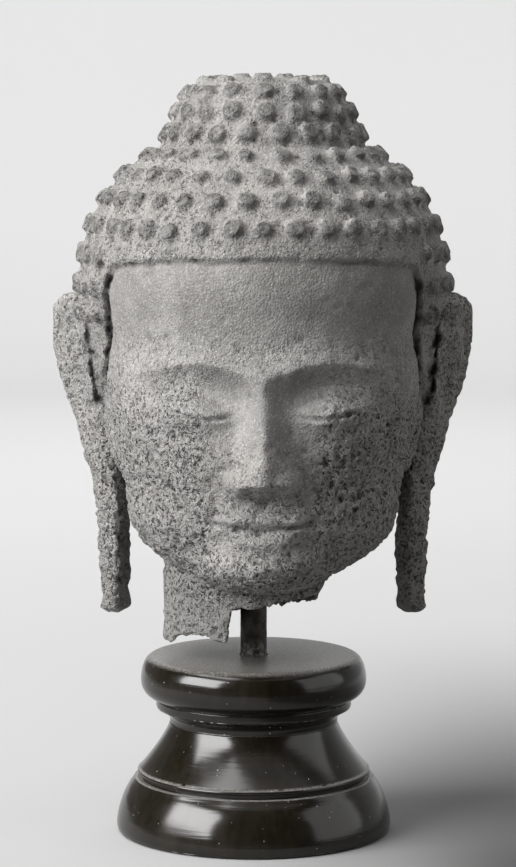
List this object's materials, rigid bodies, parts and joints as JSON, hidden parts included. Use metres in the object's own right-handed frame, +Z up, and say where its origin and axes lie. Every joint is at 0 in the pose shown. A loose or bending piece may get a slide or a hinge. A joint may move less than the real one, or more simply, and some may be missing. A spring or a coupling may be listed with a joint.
{
  "type": "stone buddha head",
  "caption": "Weathered stone head with rows of round curls, a topknot and long ear lobes, broken at the neck, held by an iron rod above a turned wooden socle.",
  "frame": {"origin": "middle of the socle's underside, on the rod's axis", "axes": "+Z up, -Y the way the face looks, +X to the figure's left"},
  "size_m": [0.2006, 0.2006, 0.3564],
  "materials": {
    "stone": "weathered and pitted, matte",
    "iron": "dark and dull",
    "wood": "stained dark and polished"
  },
  "bodies": {
    "root": {"turned_socle": "wood", "iron_rod": "iron", "stone_head": "stone"}
  },
  "joints": []
}
